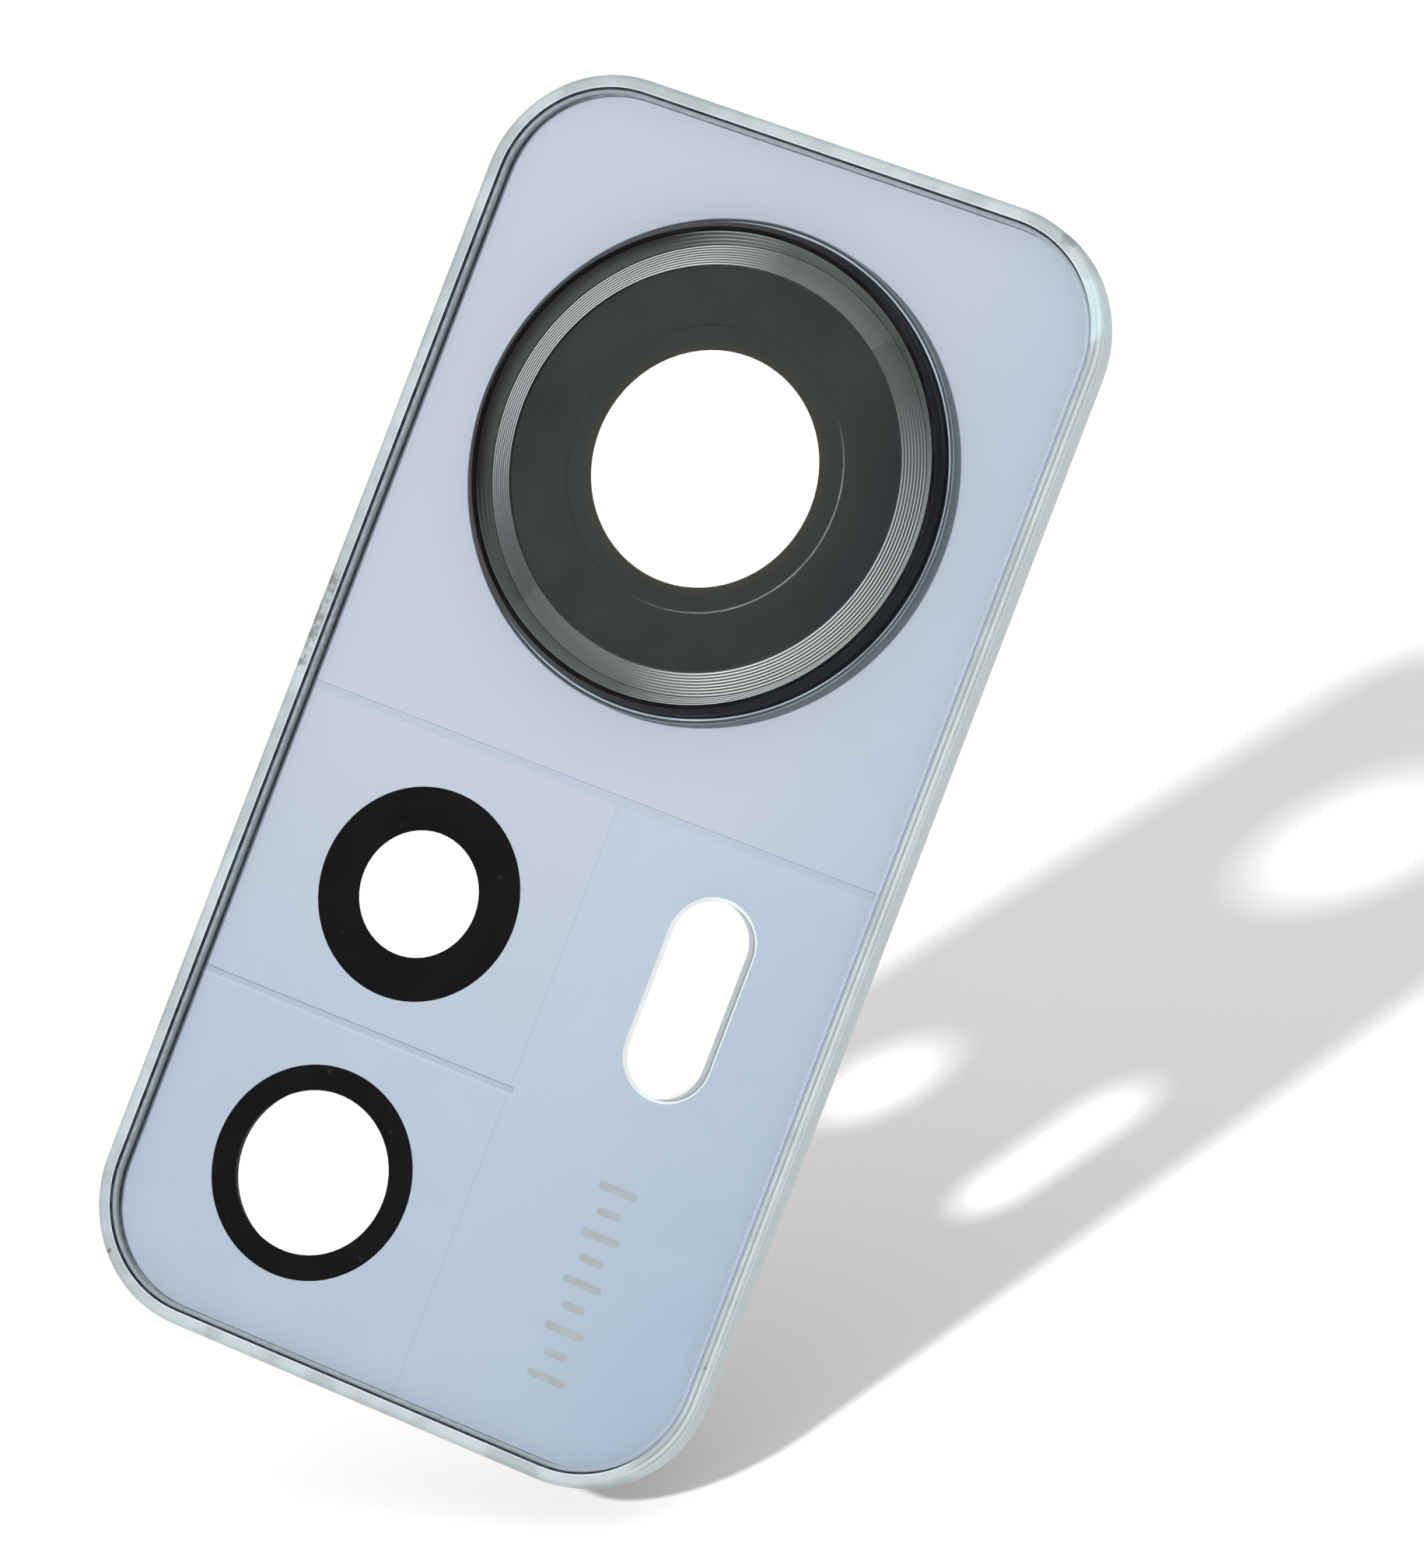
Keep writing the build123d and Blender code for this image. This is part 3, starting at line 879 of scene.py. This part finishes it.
class LENSCOVER_OT_main_ring(bpy.types.Operator):
    """Turn the raised outer ring with its flange, chamfers, funnel, ledges and spigot"""
    bl_idname = "lens_cover.main_ring"
    bl_label = "Main ring"

    BODY, FUNNEL, LAND, CHAMFER, FLANGE = range(5)
    WINDOW_R = 7.10 * MM
    SPIGOT_R, SPIGOT_OUTER_R, SPIGOT_END = 8.70 * MM, 9.55 * MM, -0.70 * MM
    LEDGE_END = -0.25 * MM                       # the ledge's back, a rise below the field
    FUNNEL_TOP_R, LAND_R, LAND_OUTER_R = 9.36 * MM, 9.46 * MM, 9.58 * MM
    CHAMFER_R, CHAMFER_OUTER_R = 9.63 * MM, 9.77 * MM
    FLANGE_WIDTH = 0.28 * MM
    GLUE = 0.05 * MM

    def execute(self, context):
        outer = (RING_HIGH.x - RING_LOW.x) / 2
        top = FIELD_Y - RING_LOW.y
        seat = FIELD_Y - INSERT_HIGH.y
        ledge = FIELD_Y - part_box("main_lens_adhesive")[1].y
        wall = outer - self.FLANGE_WIDTH
        foot = INSERT_OUTER_R + 0.01 * MM
        seat_r = INSERT_INNER_R - 0.02 * MM
        section = [
            (self.WINDOW_R, self.LEDGE_END), (self.WINDOW_R, ledge - 0.04 * MM),
            (self.WINDOW_R + 0.04 * MM, ledge), (seat_r, ledge), (seat_r, seat), (foot, seat),
            (foot, 0.19 * MM), (foot + 0.03 * MM, 0.24 * MM),
            (self.FUNNEL_TOP_R, top - 0.12 * MM), (FUNNEL_OUTER_R, top - 0.05 * MM),
            (self.LAND_R, top), (self.LAND_OUTER_R, top), (self.CHAMFER_R, top - 0.02 * MM),
            (self.CHAMFER_OUTER_R, top - 0.17 * MM), (wall, top - 0.22 * MM), (wall, 0.22 * MM),
            (wall + 0.05 * MM, 0.14 * MM), (outer - 0.03 * MM, 0.13 * MM), (outer, 0.10 * MM),
            (outer, self.GLUE), (self.SPIGOT_OUTER_R, self.GLUE),
            (self.SPIGOT_OUTER_R, self.SPIGOT_END), (self.SPIGOT_R, self.SPIGOT_END),
            (self.SPIGOT_R, self.LEDGE_END)]
        bm = spin_section(section)
        bmesh.ops.remove_doubles(bm, verts=bm.verts, dist=MERGE)
        for face in bm.faces:
            face.material_index = self.zone(face, top)
        # Painted sheen: each finish shifts from its left to its right colour; the chamfer's pale left
        # is a painted highlight.
        body = black_anodised("anodised_wall", "#0d0d0e", "#0a0d15", 0.4)
        funnel = turned_anodised(look(), "turned_anodised_funnel", 1.0)
        land = black_anodised("anodised_land", "#020203", "#030305", 0.6, 0.0, 0.06)
        chamfer = black_anodised("anodised_chamfer", "#4a4b4a", "#12161f", 0.45)
        make_piece("main_ring", bm, [body, funnel, land, chamfer, flange_anodised()],
                   ["main_ring_body"])
        return {"FINISHED"}

    def zone(self, face, top):
        """Material index by where a strip of the ring lies."""
        radius = ring_radius(face) / MM
        rise = FIELD_Y - face.calc_center_median().y
        if rise < 0.2 * MM and radius > 9.85:
            return self.FLANGE
        if 9.59 < radius < 9.79 and rise > top - 0.2 * MM:
            return self.CHAMFER
        if 9.41 < radius < 9.59 and rise > top - 0.13 * MM:
            return self.LAND
        if 8.99 < radius < 9.41 and rise > 0.18 * MM:
            return self.FUNNEL
        return self.BODY


class LENSCOVER_OT_insert(bpy.types.Operator):
    """Turn the insert ring with its concentric cuts on the outward bevel"""
    bl_idname = "lens_cover.insert"
    bl_label = "Turned insert"

    def execute(self, context):
        seat = FIELD_Y - INSERT_HIGH.y
        top = FIELD_Y - INSERT_LOW.y
        foot = 0.20 * MM
        cut = 0.005 * MM
        section = [(INSERT_INNER_R, seat), (INSERT_OUTER_R, seat)]
        for index in range(GROOVES):
            radius = INSERT_OUTER_R - index * GROOVE_PITCH
            share = index / GROOVES
            rise = foot + (top - foot) * share
            middle = rise + (top - foot) / GROOVES / 2 - cut
            section += [(radius, rise), (radius - GROOVE_PITCH / 2, middle)]
        section.append((INSERT_INNER_R, top))
        bm = spin_section(section)
        bmesh.ops.remove_doubles(bm, verts=bm.verts, dist=MERGE)
        finish = turned_anodised(look(), "turned_anodised_insert")
        make_piece("turned_insert", bm, [finish], ["main_ring_insert"], 10.0)
        return {"FINISHED"}


class LENSCOVER_OT_main_lens(bpy.types.Operator):
    """Build the lens glass and the line with its painted glint, and finish the prints behind the
    glass
    """
    bl_idname = "lens_cover.main_lens"
    bl_label = "Main lens"

    CLEAR_R = 4.72 * MM                          # the clear window inside the aperture print
    LIFT = 0.01 * MM                             # between the prints and the glass

    def execute(self, context):
        radius = (GLASS_HIGH.x - GLASS_LOW.x) / 2
        back, top = FIELD_Y - GLASS_HIGH.y + self.LIFT, FIELD_Y - GLASS_LOW.y
        edge = 0.04 * MM
        bm = bmesh.new()
        rear = bm.faces.new(circle_verts(bm, radius, FIELD_Y - back, GLASS_STEPS))
        front = bmesh.ops.extrude_face_region(bm, geom=[rear])["geom"]
        bmesh.ops.translate(bm, verts=[v for v in front if isinstance(v, bmesh.types.BMVert)],
                            vec=(0, back - top, 0))
        rims = [e for e in bm.edges if any(len(f.verts) > 4 for f in e.link_faces)]
        bmesh.ops.bevel(bm, geom=rims, offset=edge, segments=2, profile=0.5, affect="EDGES",
                        material=-1)
        make_piece("lens_glass", bm, [lens_glass()], ["main_lens_glass"], 6.0)
        split = (PRINT_HIGH.x - PRINT_LOW.x) / 2
        finish_node("main_lens_mask", lens_ink(
            "lens_ink_mask", "#2d2f2e", "#282b2a", split, 1.2))
        finish_node("main_lens_aperture_print", lens_ink(
            "lens_ink_aperture", "#37332c", "#2b2d2c", self.CLEAR_R, 0.5))
        line, thick = 0.030 * MM, 0.006 * MM
        rise = FIELD_Y - PRINT_LOW.y
        middle = split + 0.025 * MM
        section = [(middle - line, rise), (middle + line, rise), (middle + line, rise + thick),
                   (middle - line, rise + thick)]
        make_piece("print_edge", spin_section(section), [hairline(look())])
        return {"FINISHED"}


class LENSCOVER_OT_rear_layers(bpy.types.Operator):
    """Finish the bonding tape, the light-seal foams and the cured adhesive"""
    bl_idname = "lens_cover.rear_layers"
    bl_label = "Tape, foams and glue"

    def execute(self, context):
        finish_node("rear_bond_tape", bond_tape())
        foam = seal_foam()
        for node in ("main_lens_foam", "upper_lens_foam", "lower_lens_foam"):
            finish_node(node, foam)
        glue = cured_adhesive()
        for node in ("main_ring_adhesive", "main_lens_adhesive"):
            finish_node(node, glue)
        return {"FINISHED"}


class LENSCOVER_OT_stage(bpy.types.Operator):
    """Set the white floor, the soft lights and the camera"""
    bl_idname = "lens_cover.stage"
    bl_label = "Stage"

    KEY_RIGHT, KEY_DOWN = 0.528, 0.248           # the sun's slant from the camera's axis
    SUN_ANGLE = math.radians(3.5)
    FLOOR_SIZE = 3.0
    FLOOR_GAP = 0.6 * MM                         # between the plate's lowest corner and the floor
    REAR_FILL = 3.0                              # the rear softbox's power over the top one's

    def execute(self, context):
        now = studio()
        scene = context.scene
        scene.view_settings.view_transform = "Standard"
        back = Vector((math.sin(now.azimuth) * math.cos(now.elevation),
                       -math.cos(now.azimuth) * math.cos(now.elevation), math.sin(now.elevation)))
        turn = (-back).to_track_quat("-Z", "Y") @ Quaternion((0, 0, 1), now.roll)
        self.camera(scene, Vector(now.aim) + back * now.distance, turn, now.lens)
        up = turn @ Vector((0, 1, 0))
        right = turn @ Vector((1, 0, 0))
        sideways = right * math.sin(now.floor_roll)
        upright = up * math.cos(now.floor_tilt) + back * math.sin(now.floor_tilt)
        normal = upright * math.cos(now.floor_roll) + sideways
        corner = Vector((PLATE_HIGH.x - 0.8 * MM, REAR_Y, PLATE_LOW.z + 0.2 * MM))
        self.floor(corner - normal * self.FLOOR_GAP, normal)
        bright = (normal * 0.75 + right * 0.35 - back * 0.45).normalized()
        self.world(scene, now.world_strength, bright)
        self.sun("key_light", right * self.KEY_RIGHT - up * self.KEY_DOWN - back, now.key_strength)
        fill = now.fill_strength
        self.softbox("fill_top", Vector((0.10, -0.30, 0.60)), 0.40, fill)
        self.softbox("fill_rear", Vector((0.12, 0.42, -0.10)), 0.30, fill * self.REAR_FILL)
        return {"FINISHED"}

    def camera(self, scene, place, turn, lens):
        data = bpy.data.cameras.new("camera")
        data.lens = lens
        data.sensor_width = 36
        data.clip_start, data.clip_end = 0.01, 10
        scene.camera = add_object("camera", data)
        scene.camera.location = place
        face_along(scene.camera, turn)

    def floor(self, point, normal):
        turn = normal.to_track_quat("Z", "Y").to_matrix().to_4x4()
        bm = bmesh.new()
        bmesh.ops.create_grid(bm, x_segments=1, y_segments=1, size=self.FLOOR_SIZE,
                              matrix=Matrix.Translation(point) @ turn)
        mesh = bpy.data.meshes.new("studio_floor")
        bm.to_mesh(mesh)
        bm.free()
        mesh.materials.append(studio_floor())
        add_object("studio_floor", mesh)

    def world(self, scene, strength, bright):
        """Pale surroundings that darken away from the bright direction."""
        world = bpy.data.worlds.new("studio_world")
        world.use_nodes = True
        aside = add_node(world, "ShaderNodeVectorMath", {"operation": "DOT_PRODUCT"}, {
            0: add_node(world, "ShaderNodeTexCoord").outputs["Generated"],
            1: bright}).outputs["Value"]
        glow = step(world, aside, -0.25, 0.75, strength * 0.12, strength)
        background = world.node_tree.nodes["Background"]
        background.inputs["Color"].default_value = linear("#f7f7f7")
        world.node_tree.links.new(glow, background.inputs["Strength"])
        scene.world = world

    def sun(self, name, direction, strength):
        data = bpy.data.lights.new(name, "SUN")
        data.energy = strength
        data.angle = self.SUN_ANGLE
        face_along(add_object(name, data), direction.to_track_quat("-Z", "Y"))

    def softbox(self, name, place, size, watts):
        data = bpy.data.lights.new(name, "AREA")
        data.shape = "DISK"
        data.size = size
        data.energy = watts
        lamp = add_object(name, data)
        lamp.location = place
        face_along(lamp, (-place).to_track_quat("-Z", "Y"))


STEPS = (LENSCOVER_OT_stage, LENSCOVER_OT_clear_plate, LENSCOVER_OT_laminate, LENSCOVER_OT_main_ring,
         LENSCOVER_OT_insert, LENSCOVER_OT_main_lens, LENSCOVER_OT_rear_layers)


class LENSCOVER_PT_panel(bpy.types.Panel):
    """Lists the settings and the build steps"""
    bl_idname = "LENSCOVER_PT_panel"
    bl_label = "Lens Cover"
    bl_space_type = "VIEW_3D"
    bl_region_type = "UI"
    bl_category = "Lens Cover"

    def draw(self, context):
        layout = self.layout
        for group in (look(), studio()):
            box = layout.box()
            for name in group.__annotations__:
                box.prop(group, name)
        for step_class in STEPS:
            layout.operator(step_class.bl_idname)


CLASSES = (LensCoverLook, LensCoverStudio, *STEPS, LENSCOVER_PT_panel)


def register():
    for item in CLASSES:
        bpy.utils.register_class(item)
    bpy.types.Scene.lens_cover_look = bpy.props.PointerProperty(type=LensCoverLook)
    bpy.types.Scene.lens_cover_studio = bpy.props.PointerProperty(type=LensCoverStudio)


def unregister():
    del bpy.types.Scene.lens_cover_look
    del bpy.types.Scene.lens_cover_studio
    for item in reversed(CLASSES):
        bpy.utils.unregister_class(item)


def main():
    register()
    bpy.ops.lens_cover.stage()
    bpy.ops.lens_cover.clear_plate()
    bpy.ops.lens_cover.laminate()
    bpy.ops.lens_cover.main_ring()
    bpy.ops.lens_cover.insert()
    bpy.ops.lens_cover.main_lens()
    bpy.ops.lens_cover.rear_layers()


if __name__ == "__main__":
    main()
